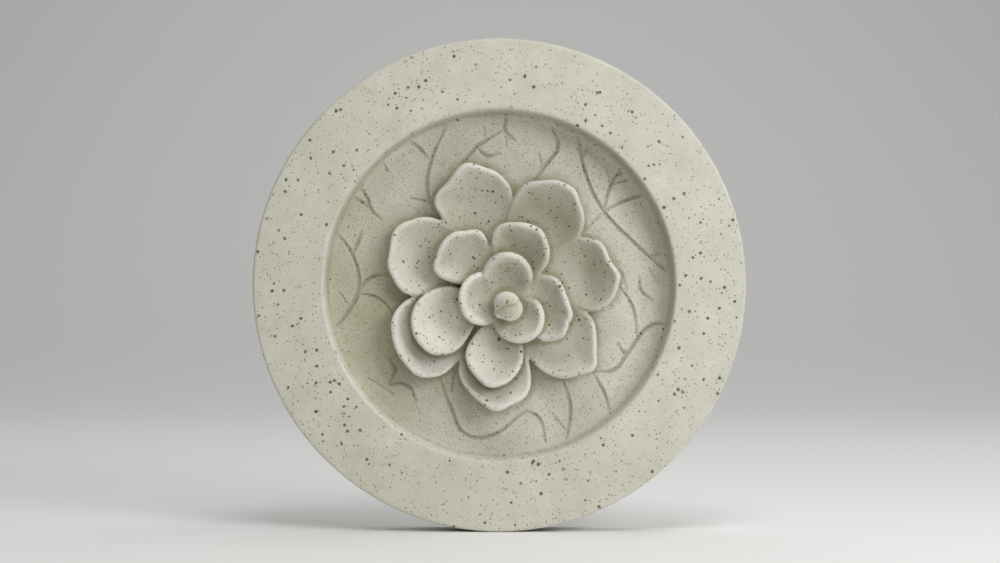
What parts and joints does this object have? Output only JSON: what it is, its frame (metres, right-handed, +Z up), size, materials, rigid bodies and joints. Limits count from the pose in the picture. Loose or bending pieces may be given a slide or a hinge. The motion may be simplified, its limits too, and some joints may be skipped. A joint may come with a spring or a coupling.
{
  "type": "round ceramic wall sculpture",
  "caption": "Round speckled stoneware wall plaque: flat rim, sunk field with scratched twigs, and a succulent rosette in high relief.",
  "frame": {"origin": "centre of the flat back, which lies against the wall", "axes": "+Z up the wall, +Y out of the back into the wall, so the face looks along -Y, +X to the right as seen from the front"},
  "size_m": [0.3, 0.0477, 0.3],
  "materials": {
    "stoneware": "matt, pale green-grey with dark green speckles"
  },
  "bodies": {
    "root": {"plaque": "stoneware"}
  },
  "joints": []
}
